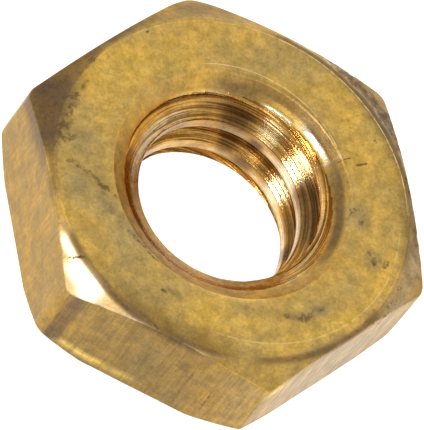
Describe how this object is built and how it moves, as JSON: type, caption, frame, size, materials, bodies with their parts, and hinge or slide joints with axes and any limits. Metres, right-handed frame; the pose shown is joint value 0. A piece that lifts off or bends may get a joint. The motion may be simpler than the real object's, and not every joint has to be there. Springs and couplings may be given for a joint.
{
  "type": "hex nut",
  "caption": "Thin hexagonal nut in worn solid brass with a right-hand internal thread, chamfered corners and a countersunk mouth.",
  "frame": {"origin": "centre of the bottom face, on the thread's axis", "axes": "+Z along the thread's axis, towards the face with the wide countersink; +X square to one of the six flats"},
  "size_m": [0.0112, 0.0126, 0.0034],
  "materials": {
    "brass": "turned and drawn brass, tarnished, with mottled brown patches and a brighter thread"
  },
  "bodies": {
    "root": {"hex_nut": "brass"}
  },
  "joints": []
}
